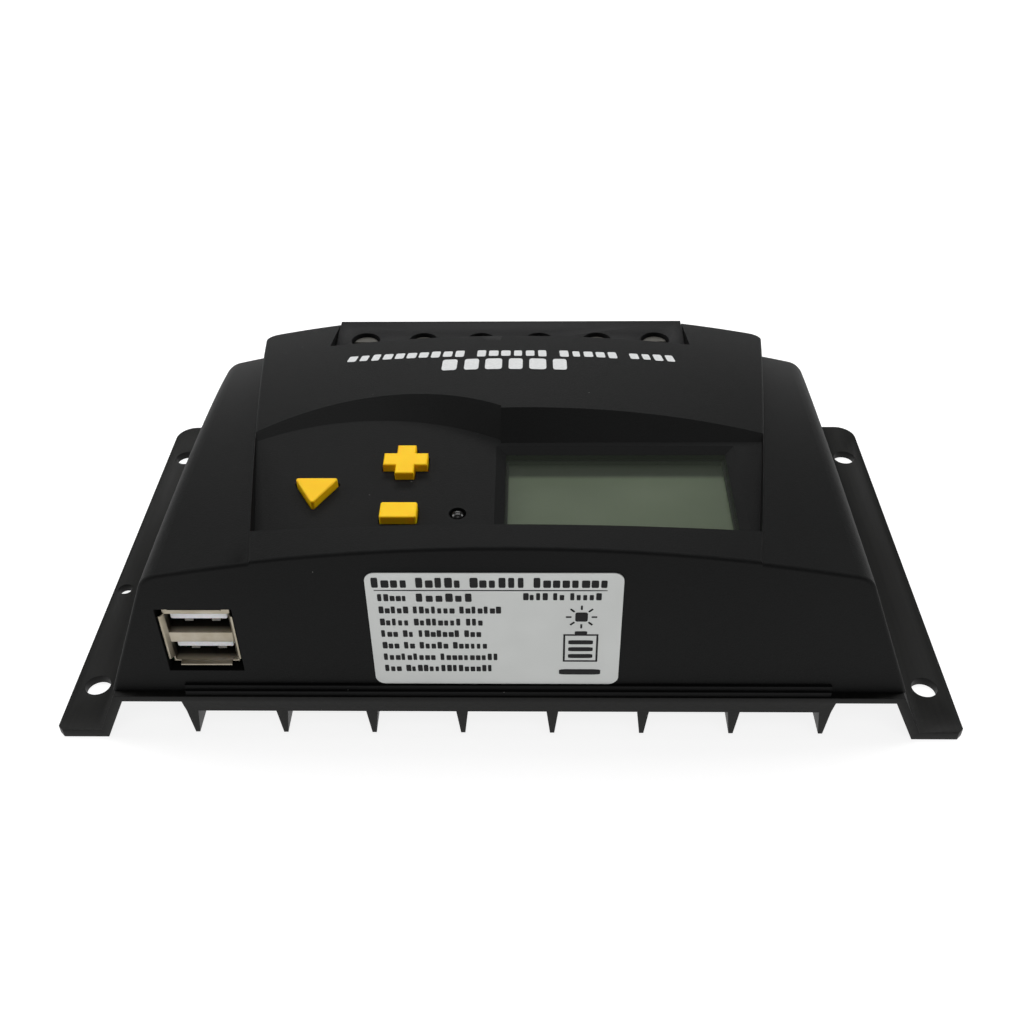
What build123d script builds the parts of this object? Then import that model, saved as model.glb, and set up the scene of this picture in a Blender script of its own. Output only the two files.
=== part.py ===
from build123d import *
import os
from math import cos, radians, sin, sqrt, tan

# Charge controller: a finned heat sink carries two circuit boards under a moulded cover.
# X runs across the controller and Y away from the wall with the USB sockets. Z = 0 is the
# mounting face. Sizes are in millimetres.

# ---- driving dimensions ----
sink_width = 188.0
sink_depth = 110.0
plate_top = 12.4
plate_thickness = 4.2
web_thickness = 1.5
flange_width = 9.3
flange_thickness = 2.0
wall_lean = 25.0
wall_thickness = 2.2
near_chamfer = 1.2
far_corner_r = 5.0
fin_count = 8
fin_pitch = 18.4
fin_root = 2.4
fin_tip = 0.9
fin_clear = 1.7
mount_spacing_x = 178.0
mount_spacing_y = 83.0
mount_shift_y = -0.9
mount_hole_r = 2.7
earth_hole_x = -91.4
earth_hole_y = -11.8
earth_hole_r = 1.6

cover_base_width = 160.8
cover_setback = 1.5
cover_wall = 2.4
cover_lean = 21.4
crown_height = 38.5
crown_radius = 330.0
crest_setback = 10.5
band_fall = 11.97
wing_fall = 17.15
band_front_half = 47.3
band_taper = 0.165
band_step = 0.3
shoulder_round = 5.0
crease_round = 0.7
band_round = 0.6
band_corner_r = 3.0
ledge_length = 130.0
ledge_height = 2.4
post_inset = 7.9
post_near = 8.5
post_far = 7.0
post_r = 3.2

panel_setback = 28.5
panel_drop = 7.8
panel_tilt = 2.7
panel_wall = 2.2
window_width = 46.4
window_length = 28.0
window_x = 22.7
window_y = -2.9
window_thickness = 1.3
bezel_width = 2.0
bezel_drop = 0.9
lcd_thickness = 2.8
board_depth_below_panel = 9.8
display_board_width = 104.0
display_board_length = 36.0

key_rise = 1.7
key_travel = 0.8
plus_size = 9.2
plus_arm = 3.9
triangle_r = 5.3
bar_key_width = 7.4
bar_key_length = 4.6
key_places = {"triangle": (-39.0, -2.0), "plus": (-21.3, 6.8), "bar": (-21.5, -9.1)}
switch_size = 6.0
led_place = (-9.8, -8.5)
led_r = 1.5

board_thickness = 1.6
standoff_height = 5.9
standoff_r = 3.2
standoff_inset = 7.0
standoff_near = 28.0
standoff_far = 14.0
main_board_inset = 12.4
screw_head_r = 2.8
screw_r = 1.45
screw_head_round = 0.5
board_screw_length = 5.5
cover_screw_length = 9.3
cover_screw_head = 2.0

usb_inset = 20.55
usb_width = 13.2
usb_height = 14.6
usb_length = 17.5
usb_cut_width = 15.0
usb_cut_height = 16.8
usb_metal = 0.4

label_width = 48.4
label_height = 29.8
label_x = -2.0
label_thickness = 0.2

terminal_count = 6
terminal_pitch = 14.7
block_length = 18.9
block_x = -0.6
block_floor = 1.2
clamp_width = 9.0
clamp_length = 8.0
clamp_height = 8.1
clamp_side = 1.0
clamp_floor = 1.1
clamp_roof = 1.3
clamp_travel = 2.8
bar_thickness = 1.0
bar_width = 6.4
well_r = 3.6
well_depth = 2.8
well_setback = 9.5
terminal_head_r = 3.2
terminal_head_height = 2.0
terminal_screw_r = 1.95

fit_gap = 0.3
slide_gap = 0.25
running_gap = 0.05

# ---- places worked out from the driving dimensions ----
front_y = -sink_depth / 2
back_y = sink_depth / 2
plate_bottom = plate_top - plate_thickness
web_bottom = plate_top - web_thickness
wall_run = tan(radians(wall_lean))
wall_foot = sink_width / 2 - flange_width
cover_front = front_y + cover_setback
cover_back = back_y - cover_setback
cover_depth = cover_back - cover_front
crown_z = plate_top + crown_height
crest_y = cover_front + crest_setback
fall_run = cover_back - crest_y
band_fall_radius = (fall_run**2 + band_fall**2) / (2 * band_fall)
wing_fall_radius = (fall_run**2 + wing_fall**2) / (2 * wing_fall)
panel_y = cover_front + panel_setback
usb_x = usb_inset - cover_base_width / 2
main_board_width = cover_base_width - 2 * main_board_inset
panel_plane = Plane(
    origin=(0, panel_y, crown_z - panel_drop),
    x_dir=(1, 0, 0),
    z_dir=(0, -sin(radians(panel_tilt)), cos(radians(panel_tilt))),
)
board_bottom = plate_top + standoff_height
board_top = board_bottom + board_thickness
block_width = terminal_count * terminal_pitch
block_back = cover_back
block_front = block_back - block_length
clamp_bottom = board_top + block_floor + fit_gap
clamp_top = clamp_bottom + clamp_height
bar_top = clamp_top - clamp_roof - fit_gap
chamber_top = clamp_top + clamp_travel + fit_gap
shoulder_top = chamber_top + block_floor
block_top = shoulder_top + well_depth
post_x = cover_base_width / 2 - post_inset
post_ys = (cover_front + post_near, cover_back - post_far)
post_places = [(x, y) for x in (-post_x, post_x) for y in post_ys]
standoff_x = main_board_width / 2 - standoff_inset
standoff_ys = (front_y + standoff_near, back_y - standoff_far)
standoff_places = [(x, y) for x in (-standoff_x, standoff_x) for y in standoff_ys]
far_above = 60.0

os.makedirs("parts", exist_ok=True)


def finish(piece, name):
    piece.label = name
    export_step(piece, f"parts/{name}.step")


# ---- heat sink: one extrusion with fins, slanted walls and flanges ----
wall_top = wall_foot - (plate_top - flange_thickness) * wall_run
inner_foot = wall_foot + flange_thickness * wall_run - wall_thickness
inner_top = inner_foot - web_bottom * wall_run
first_fin = -(fin_count - 1) * fin_pitch / 2
plate_reach = fin_root / 2 - first_fin
plate_slant = 0.6

with BuildPart() as heat_sink:
    with BuildSketch(Plane.XZ.offset(back_y)):
        with BuildLine():
            Polyline(
                (0, plate_top),
                (wall_top, plate_top),
                (wall_foot, flange_thickness),
                (sink_width / 2, flange_thickness),
                (sink_width / 2, 0),
                (inner_foot, 0),
                (inner_top, web_bottom),
                (plate_reach + plate_slant, web_bottom),
                (plate_reach, plate_bottom),
                (0, plate_bottom),
            )
            mirror(about=Plane.YZ)
        make_face()
        for index in range(fin_count):
            fin_x = first_fin + index * fin_pitch
            with BuildLine():
                Polyline(
                    (fin_x - fin_root / 2, plate_bottom),
                    (fin_x - fin_tip / 2, fin_clear),
                    (fin_x + fin_tip / 2, fin_clear),
                    (fin_x + fin_root / 2, plate_bottom),
                    close=True,
                )
            make_face()
    extrude(amount=-sink_depth)
    corners = heat_sink.edges().filter_by(Axis.Z)
    outer_corners = corners.group_by(Axis.X)[0] + corners.group_by(Axis.X)[-1]
    chamfer(outer_corners.group_by(Axis.Y)[0], near_chamfer)
    corners = heat_sink.edges().filter_by(Axis.Z)
    outer_corners = corners.group_by(Axis.X)[0] + corners.group_by(Axis.X)[-1]
    fillet(outer_corners.group_by(Axis.Y)[-1], far_corner_r)
    with Locations(Plane.XY.offset(flange_thickness)):
        with Locations((0, mount_shift_y)):
            with GridLocations(mount_spacing_x, mount_spacing_y, 2, 2):
                Hole(mount_hole_r, depth=2 * flange_thickness)
        with Locations((earth_hole_x, earth_hole_y)):
            Hole(earth_hole_r, depth=2 * flange_thickness)
    with BuildSketch(Plane.XY.offset(plate_bottom)):
        with Locations(*post_places):
            Circle(screw_r + fit_gap)
        with Locations(*standoff_places):
            Circle(screw_r + running_gap)
    extrude(amount=plate_thickness, mode=Mode.SUBTRACT)
finish(heat_sink.part, "heat_sink")


# ---- cover: crowned shell with a raised centre band ----
def crowned_barrel(top, fall_radius, inset):
    """A solid whose top is arched across the cover and falls away towards the terminals."""
    arch_radius = crown_radius - inset
    half = cover_base_width / 2 + 5
    edge = top - (arch_radius - sqrt(arch_radius**2 - half**2))
    axis_z = top + inset - fall_radius
    with BuildPart() as barrel:
        with BuildSketch(Plane.XZ.offset(-crest_y)):
            with BuildLine():
                arch = ThreePointArc((-half, edge), (0, top), (half, edge))
                Polyline(arch @ 1, (half, axis_z), (-half, axis_z), arch @ 0)
            make_face()
        revolve(axis=Axis((0, crest_y, axis_z), (1, 0, 0)))
    return barrel.part


def band_outline(inset):
    """Plan of the centre band, which widens towards the terminals."""
    near_half = band_front_half - inset
    far_half = near_half + band_taper * cover_depth
    with BuildSketch() as outline:
        Polygon(
            (-near_half, cover_front),
            (near_half, cover_front),
            (far_half, cover_back),
            (-far_half, cover_back),
            align=None,
        )
    return outline.sketch


def cover_form(inset, base):
    """The cover's outer shape, or its cavity when inset by the wall."""
    base_half = cover_base_width / 2 - inset + (plate_top - base) * tan(radians(cover_lean))
    top_half = base_half - (far_above - base) * tan(radians(cover_lean))
    with BuildPart() as prism:
        with BuildSketch(Plane.XZ.offset(-(cover_front + inset))):
            Polygon(
                (-base_half, base), (base_half, base), (top_half, far_above), (-top_half, far_above),
                align=None,
            )
        extrude(amount=-(cover_depth - 2 * inset))
    with BuildPart() as wings:
        add(prism.part)
        add(crowned_barrel(crown_z - band_step - inset, wing_fall_radius, inset), mode=Mode.INTERSECT)
        if inset == 0:
            raised = wings.edges().filter_by(lambda edge: edge.center().Z > base + 1)
            fillet(raised.filter_by(lambda edge: edge.center().Y > cover_front + 1), shoulder_round)
            raised = wings.edges().filter_by(lambda edge: edge.center().Z > base + 1)
            fillet(raised.filter_by(lambda edge: edge.center().Y < cover_front + 0.1), crease_round)
    with BuildPart() as band:
        add(prism.part)
        add(crowned_barrel(crown_z - inset, band_fall_radius, inset), mode=Mode.INTERSECT)
        with BuildSketch(Plane.XY.offset(base)):
            add(band_outline(inset))
        extrude(amount=far_above - base, mode=Mode.INTERSECT)
        if inset == 0:
            far_uprights = band.edges().group_by(Axis.Y)[-1].sort_by(Axis.X)
            fillet([far_uprights[0], far_uprights[-1]], band_corner_r)
            fillet(band.faces().sort_by(Axis.Z)[-1].edges(), band_round)
    with BuildPart() as form:
        add(wings.part)
        add(band.part)
    return form.part


# ---- the sunk key and display panel ----
rim_setback = 6.8
rim_bow = 2.2
scallop_rise = 6.9
key_shelf = 41.7
display_shelf = 41.9
wall_spread = 12.8
divide_x = -1.6
recess_margin = 0.2
slope_height = 6.0

recess_near = cover_front + rim_setback
key_far = cover_front + key_shelf
display_far = cover_front + display_shelf
floor_plane = Plane.XY.offset(crown_z - panel_drop)


def recess_half(y):
    return band_front_half - recess_margin + band_taper * (y - cover_front)


def key_area(spread):
    """Plan of the sunk key area: a scalloped far edge and a gently bowed near edge."""
    left_near = (-recess_half(recess_near + rim_bow), recess_near + rim_bow)
    far = key_far + spread
    with BuildSketch() as area:
        with BuildLine():
            rim = ThreePointArc(left_near, (-25, recess_near + rim_bow / 4), (divide_x, recess_near))
            scallop = ThreePointArc(
                (divide_x, far + 1.2 - spread * 0.5),
                (-29.0, far + scallop_rise - spread * 0.14),
                (-recess_half(far), far),
            )
            Line(rim @ 1, scallop @ 0)
            Line(scallop @ 1, rim @ 0)
        make_face()
    return area.sketch


def display_area(spread):
    """Plan of the sunk display area beside the keys."""
    right_near = (recess_half(recess_near + rim_bow), recess_near + rim_bow)
    far = display_far + spread * 0.5
    far_right = far + spread * 0.16
    with BuildSketch() as area:
        with BuildLine():
            rim = ThreePointArc((divide_x, recess_near), (25, recess_near + rim_bow / 4), right_near)
            Polyline(rim @ 1, (recess_half(far_right), far_right), (divide_x, far), rim @ 0)
        make_face()
    return area.sketch


with BuildPart() as recess:
    for area in (key_area, display_area):
        with BuildSketch(floor_plane):
            add(area(0))
        with BuildSketch(floor_plane.offset(slope_height)):
            add(area(wall_spread))
        loft(ruled=True)
        with BuildSketch(floor_plane):
            add(area(0))
        extrude(amount=-panel_wall)
        with BuildSketch(floor_plane.offset(slope_height)):
            add(area(wall_spread))
        extrude(amount=far_above)
    split(bisect_by=panel_plane, keep=Keep.TOP)

with BuildPart() as panel_block:
    for area in (key_area, display_area):
        with BuildSketch(floor_plane.offset(-3 * panel_wall)):
            add(area(wall_spread / 2))
            offset(amount=panel_wall, kind=Kind.INTERSECTION)
        extrude(amount=far_above)
    split(bisect_by=panel_plane.offset(-panel_wall), keep=Keep.TOP)


def plus_outline(grow):
    with BuildSketch() as outline:
        Rectangle(plus_size + 2 * grow, plus_arm + 2 * grow)
        Rectangle(plus_arm + 2 * grow, plus_size + 2 * grow)
    return outline.sketch


def triangle_outline(grow):
    with BuildSketch() as outline:
        RegularPolygon(triangle_r + 2 * grow, 3, rotation=-90)
        fillet(outline.vertices(), 0.5)
    return outline.sketch


def bar_outline(grow):
    with BuildSketch() as outline:
        RectangleRounded(bar_key_width + 2 * grow, bar_key_length + 2 * grow, 0.5)
    return outline.sketch


key_outlines = {"triangle": triangle_outline, "plus": plus_outline, "bar": bar_outline}

# ---- cover: outside less cavity, panel, sockets and terminal pocket ----
usb_cut_bottom = board_top - 1.4
pocket_half = block_width / 2 + fit_gap
pocket_lip = 0.4
lip_bow = 0.9
skirt_drop = 3.5
boss_places = [(x, y) for x in (-46.0, 51.2) for y in (-15.0, 11.0)]
boss_r = 2.4
boss_screw_r = 1.2
ledge_rise = 0.6

with BuildPart() as cavity:
    add(cover_form(cover_wall, plate_top - 1))
    add(panel_block.part, mode=Mode.SUBTRACT)
    with BuildSketch(Plane.XY.offset(block_top - skirt_drop)):
        with Locations((block_x, (block_front + block_back) / 2)):
            Rectangle(2 * (pocket_half + cover_wall), block_length + 2 * cover_wall)
    extrude(amount=far_above, mode=Mode.SUBTRACT)
    with BuildSketch(Plane.XY.offset(plate_top - 1)):
        with Locations(*post_places):
            Circle(post_r)
    extrude(amount=far_above, mode=Mode.SUBTRACT)
    with BuildSketch(panel_plane.offset(-board_depth_below_panel)):
        with Locations(*boss_places):
            Circle(boss_r)
    extrude(amount=board_depth_below_panel - panel_wall / 2, mode=Mode.SUBTRACT)

with BuildPart() as top_cover:
    add(cover_form(0.0, plate_top))
    add(cavity.part, mode=Mode.SUBTRACT)
    add(recess.part, mode=Mode.SUBTRACT)
    with BuildSketch(panel_plane):
        with Locations((window_x, window_y)):
            Rectangle(window_width, window_length)
        with Locations(led_place):
            Circle(led_r + slide_gap)
        for name, place in key_places.items():
            with Locations(place):
                add(key_outlines[name](slide_gap))
    extrude(amount=-2 * panel_wall, mode=Mode.SUBTRACT)
    with BuildSketch(panel_plane):
        with Locations((window_x, window_y)):
            Rectangle(window_width + 2 * bezel_width, window_length + 2 * bezel_width)
    with BuildSketch(panel_plane.offset(-bezel_drop)):
        with Locations((window_x, window_y)):
            Rectangle(window_width, window_length)
    loft(ruled=True, mode=Mode.SUBTRACT)
    with BuildSketch(Plane.XZ.offset(-cover_front)):
        with Locations((usb_x, usb_cut_bottom + usb_cut_height / 2)):
            Rectangle(usb_cut_width, usb_cut_height)
    extrude(amount=-2 * cover_wall, mode=Mode.SUBTRACT)
    with BuildSketch(Plane.XY.offset(plate_top - 1)):
        with Locations((block_x, (block_front - fit_gap + back_y) / 2)):
            Rectangle(2 * pocket_half, back_y - block_front + fit_gap)
    extrude(amount=block_top + fit_gap - plate_top + 1, mode=Mode.SUBTRACT)
    with BuildSketch(Plane.XY.offset(block_top)):
        with BuildLine():
            lip = ThreePointArc(
                (block_x - pocket_half, block_front + pocket_lip + lip_bow),
                (block_x, block_front + pocket_lip),
                (block_x + pocket_half, block_front + pocket_lip + lip_bow),
            )
            Polyline(
                lip @ 1, (block_x + pocket_half, back_y), (block_x - pocket_half, back_y), lip @ 0
            )
        make_face()
    extrude(amount=far_above, mode=Mode.SUBTRACT)
    with BuildSketch(Plane.XY.offset(plate_top)):
        with Locations(*post_places):
            Circle(screw_r + running_gap)
    extrude(amount=10, mode=Mode.SUBTRACT)
    with BuildSketch(panel_plane.offset(-board_depth_below_panel)):
        with Locations(*boss_places):
            Circle(boss_screw_r + running_gap)
    extrude(amount=6, mode=Mode.SUBTRACT)
    with BuildSketch(Plane.YZ.offset(-ledge_length / 2)):
        with BuildLine():
            Polyline(
                (cover_front, plate_top),
                (cover_front - 1.1, plate_top),
                (cover_front - 1.1, plate_top + ledge_height / 2),
                (cover_front - ledge_rise, plate_top + ledge_height / 2),
                (cover_front - ledge_rise, plate_top + ledge_height),
                (cover_front, plate_top + ledge_height),
                close=True,
            )
        make_face()
    extrude(amount=ledge_length)
finish(top_cover.part, "top_cover")

# ---- label on the front wall ----
with BuildPart() as rating_label:
    with BuildSketch(Plane.XZ.offset(-cover_front)):
        with Locations((label_x, plate_top + ledge_height + fit_gap + label_height / 2)):
            RectangleRounded(label_width, label_height, 2.0)
    extrude(amount=label_thickness)
finish(rating_label.part, "rating_label")

# ---- display: lens, glass, light guide and holder ----
holder_lip = 0.6
holder_wall = 1.2
holder_top = -panel_wall
glass_top = holder_top - 1.0
glass_bottom = glass_top - lcd_thickness
glass_width = window_width + 1.6
glass_length = window_length + 1.0
holder_width = glass_width + 2 * (running_gap + holder_wall)
holder_length = glass_length + 2 * (running_gap + holder_wall)


def panel_box(name, width, length, top, thickness, corner=0.5):
    """A plate centred under the window, at a depth measured from the panel's face."""
    with BuildPart() as plate:
        with BuildSketch(panel_plane.offset(top)):
            with Locations((window_x, window_y)):
                RectangleRounded(width, length, corner)
        extrude(amount=-thickness)
    finish(plate.part, name)


panel_box(
    "display_window",
    window_width - 2 * running_gap,
    window_length - 2 * running_gap,
    holder_top + window_thickness,
    window_thickness,
    corner=0.2,
)
panel_box("lcd_glass", glass_width, glass_length, glass_top, lcd_thickness)
panel_box(
    "lcd_backlight", glass_width, glass_length, glass_bottom, board_depth_below_panel + glass_bottom
)

with BuildPart() as lcd_holder:
    with BuildSketch(panel_plane.offset(holder_top)):
        with Locations((window_x, window_y)):
            RectangleRounded(holder_width, holder_length, 1.0)
    extrude(amount=-(board_depth_below_panel + holder_top))
    with BuildSketch(panel_plane.offset(glass_top)):
        with Locations((window_x, window_y)):
            Rectangle(glass_width + 2 * running_gap, glass_length + 2 * running_gap)
    extrude(amount=-board_depth_below_panel, mode=Mode.SUBTRACT)
    with BuildSketch(panel_plane):
        with Locations((window_x, window_y)):
            Rectangle(window_width - 2 * holder_lip, window_length - 2 * holder_lip)
    extrude(amount=-board_depth_below_panel, mode=Mode.SUBTRACT)
finish(lcd_holder.part, "lcd_holder")

# ---- display board and its screws ----
board_face = panel_plane.offset(-board_depth_below_panel)
board_back = board_face.offset(-board_thickness)
display_board_y = -2.0
display_head_r = 2.1
display_screw_length = 6.0
display_board_x = (boss_places[0][0] + boss_places[-1][0]) / 2

with BuildPart() as display_board:
    with BuildSketch(board_face):
        with Locations((display_board_x, display_board_y)):
            RectangleRounded(display_board_width, display_board_length, 2.0)
        with Locations(*boss_places):
            Circle(boss_screw_r + fit_gap, mode=Mode.SUBTRACT)
    extrude(amount=-board_thickness)
finish(display_board.part, "display_board")


def pan_screw(plane, place, head_r, shank_r, shank, head=1.6):
    """A pan-head screw whose head seats on the plane and whose shank runs along its normal."""
    with BuildPart() as screw:
        with BuildSketch(plane):
            with Locations(place):
                Circle(head_r)
        extrude(amount=-head)
        outer_face = screw.faces().sort_by(Axis(plane.origin, plane.z_dir))[0]
        fillet(outer_face.edges(), screw_head_round)
        with BuildSketch(plane.offset(-head)):
            with Locations(place):
                Rectangle(head_r * 1.2, 0.5)
                Rectangle(0.5, head_r * 1.2)
        extrude(amount=head / 2, mode=Mode.SUBTRACT)
        with BuildSketch(plane):
            with Locations(place):
                Circle(shank_r)
        extrude(amount=shank)
    return screw.part


for number, place in enumerate(boss_places, start=1):
    display_screw = pan_screw(board_back, place, display_head_r, boss_screw_r, display_screw_length)
    finish(display_screw, f"display_screw_{number}")

# ---- keys with their switches ----
cap_foot = -panel_wall
skirt_thickness = 1.0
skirt_width = 0.8
plunger_top = -5.0
plunger_r = 1.7
plunger_length = 3.2
switch_top = -6.3

for name, place in key_places.items():
    with BuildPart() as key:
        with BuildSketch(panel_plane.offset(cap_foot)):
            with Locations(place):
                add(key_outlines[name](0))
        extrude(amount=key_rise - cap_foot)
        fillet(key.faces().sort_by(Axis.Z)[-1].edges(), 0.35)
        with BuildSketch(panel_plane.offset(cap_foot)):
            with Locations(place):
                add(key_outlines[name](skirt_width))
        extrude(amount=-skirt_thickness)
        with BuildSketch(panel_plane.offset(cap_foot - skirt_thickness)):
            with Locations(place):
                Circle(plunger_r)
        extrude(amount=plunger_top - cap_foot + skirt_thickness)
    finish(key.part, f"key_{name}")

    with BuildPart() as plunger:
        with BuildSketch(panel_plane.offset(plunger_top)):
            with Locations(place):
                Circle(plunger_r)
        extrude(amount=-plunger_length)
    finish(plunger.part, f"plunger_{name}")

    with BuildPart() as switch:
        with BuildSketch(panel_plane.offset(switch_top)):
            with Locations(place):
                RectangleRounded(switch_size, switch_size, 0.4)
        extrude(amount=-(board_depth_below_panel + switch_top))
        with BuildSketch(panel_plane.offset(switch_top)):
            with Locations(place):
                Circle(plunger_r + running_gap)
        extrude(amount=plunger_top - plunger_length - key_travel - switch_top - 0.1, mode=Mode.SUBTRACT)
    finish(switch.part, f"switch_{name}")

# ---- status light ----
led_foot = -5.2
led_proud = 0.3

with BuildPart() as status_led:
    with BuildSketch(panel_plane.offset(led_foot)):
        with Locations(led_place):
            Circle(led_r)
    extrude(amount=led_proud - led_foot)
    with BuildSketch(panel_plane.offset(led_foot)):
        with Locations(led_place):
            Circle(led_r + 0.4)
    extrude(amount=0.8)
    dome = status_led.faces().sort_by(Axis.Z)[-1].edges()
    fillet(dome, led_r - 0.05)
    with BuildSketch(panel_plane.offset(led_foot)):
        with Locations(led_place):
            with GridLocations(1.8, 0, 2, 1):
                Rectangle(0.5, 0.5)
    extrude(amount=-(board_depth_below_panel + led_foot))
finish(status_led.part, "status_led")

# ---- main board, standoffs and screws ----
board_margin = 0.7

with BuildPart() as main_board:
    with BuildSketch(Plane.XY.offset(board_bottom)):
        with Locations((0, (cover_front + cover_back) / 2)):
            Rectangle(main_board_width, cover_depth - 2 * (cover_wall + board_margin))
        with Locations(*standoff_places):
            Circle(screw_r + fit_gap, mode=Mode.SUBTRACT)
    extrude(amount=board_thickness)
finish(main_board.part, "main_board")

stud_length = 3.0
bore_depth = 4.6

for number, place in enumerate(standoff_places, start=1):
    with BuildPart() as standoff:
        with BuildSketch(Plane.XY.offset(plate_top)):
            with Locations(place):
                RegularPolygon(standoff_r, 6)
        extrude(amount=standoff_height)
        with BuildSketch(Plane.XY.offset(board_bottom)):
            with Locations(place):
                Circle(screw_r + running_gap)
        extrude(amount=-bore_depth, mode=Mode.SUBTRACT)
        with BuildSketch(Plane.XY.offset(plate_top)):
            with Locations(place):
                Circle(screw_r)
        extrude(amount=-stud_length)
    finish(standoff.part, f"board_standoff_{number}")
    seat = Plane(origin=(0, 0, board_top), x_dir=(1, 0, 0), z_dir=(0, 0, -1))
    board_screw = pan_screw(seat, (place[0], -place[1]), screw_head_r, screw_r, board_screw_length)
    finish(board_screw, f"board_screw_{number}")

for number, place in enumerate(post_places, start=1):
    cover_screw = pan_screw(
        Plane.XY.offset(web_bottom), place, screw_head_r, screw_r, cover_screw_length, cover_screw_head
    )
    finish(cover_screw, f"cover_screw_{number}")

# ---- double-stack USB socket ----
usb_lip = 0.9
usb_flare = 0.6
usb_front = cover_front + 0.4 + usb_lip
usb_middle = board_top + usb_height / 2
port_band = 2.6
port_height = 5.0
port_drop = usb_height / 2 - usb_metal - port_height - port_band / 2
port_middle = usb_middle - port_drop
port_rise = (port_height + port_band) / 2
tongue_width = 11.1
tongue_thickness = 1.84
tongue_drop = 0.5
tongue_setback = 1.2
usb_back = 7.0

with BuildPart() as usb_shell:
    with BuildSketch(Plane.XZ.offset(-usb_front)):
        with Locations((usb_x, usb_middle)):
            Rectangle(usb_width, usb_height)
    extrude(amount=-usb_length)
    with BuildSketch(Plane.XZ.offset(-usb_front)):
        with Locations((usb_x, port_middle)):
            with GridLocations(0, 2 * port_rise, 1, 2):
                Rectangle(usb_width - 2 * usb_metal, port_height)
    extrude(amount=-(usb_length - usb_metal), mode=Mode.SUBTRACT)
    with BuildSketch(Plane.XZ.offset(-usb_front - usb_metal)):
        with Locations((usb_x, port_middle)):
            Rectangle(usb_width - 2 * usb_metal, port_band - 2 * usb_metal)
    extrude(amount=-(usb_length - 2 * usb_metal), mode=Mode.SUBTRACT)
    for side in (-1, 1):
        edge_x = usb_x + side * usb_width / 2
        with BuildSketch(Plane.XY.offset(usb_middle)):
            Polygon(
                (edge_x - side * usb_metal, usb_front),
                (edge_x, usb_front),
                (edge_x + side * usb_flare, usb_front - usb_lip),
                (edge_x + side * (usb_flare - usb_metal), usb_front - usb_lip),
                align=None,
            )
        extrude(amount=usb_height * 0.4, both=True)
        edge_z = usb_middle + side * usb_height / 2
        rise = usb_flare / 2
        with BuildSketch(Plane.YZ.offset(usb_x)):
            Polygon(
                (usb_front, edge_z - side * usb_metal),
                (usb_front, edge_z),
                (usb_front - usb_lip, edge_z + side * rise),
                (usb_front - usb_lip, edge_z + side * (rise - usb_metal)),
                align=None,
            )
        extrude(amount=usb_width * 0.39, both=True)
finish(usb_shell.part, "usb_shell")

tongue_rise = port_height / 2 - tongue_drop - tongue_thickness / 2
tongue_z = [port_middle + level * port_rise + tongue_rise for level in (-1, 1)]
tongue_front = usb_front + tongue_setback
insulator_front = usb_front + usb_length - usb_back

with BuildPart() as usb_insulator:
    with BuildSketch(Plane.XZ.offset(-insulator_front)):
        with Locations((usb_x, port_middle)):
            with GridLocations(0, 2 * port_rise, 1, 2):
                Rectangle(usb_width - 2 * usb_metal, port_height)
    extrude(amount=-(usb_back - usb_metal))
    with BuildSketch(Plane.XZ.offset(-tongue_front)):
        for height in tongue_z:
            with Locations((usb_x, height)):
                RectangleRounded(tongue_width, tongue_thickness, 0.4)
    extrude(amount=-(insulator_front - tongue_front))
finish(usb_insulator.part, "usb_insulator")

contact_height = 0.35
contact_length = 6.5

with BuildPart() as usb_contacts:
    for height in tongue_z:
        with BuildSketch(Plane.XY.offset(height - tongue_thickness / 2)):
            with Locations((usb_x, tongue_front + 0.8 + contact_length / 2)):
                with GridLocations(2.33, 0, 4, 1):
                    Rectangle(1.0, contact_length)
        extrude(amount=-contact_height)
finish(usb_contacts.part, "usb_contacts")

# ---- terminal block: housing, bars, clamps and screws ----
terminal_y = block_back - well_setback
first_terminal_x = block_x - (terminal_count - 1) / 2 * terminal_pitch
terminal_xs = [first_terminal_x + index * terminal_pitch for index in range(terminal_count)]
chamber_length = clamp_length + 2 * fit_gap
bar_front = terminal_y - chamber_length / 2 - block_floor - bar_thickness / 2
entry_width = clamp_width - 2 * clamp_side + 2 * fit_gap
wire_bottom = clamp_bottom + clamp_floor
wire_top = bar_top - bar_thickness
funnel_grow = 3.0
funnel_depth = 1.2

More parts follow.
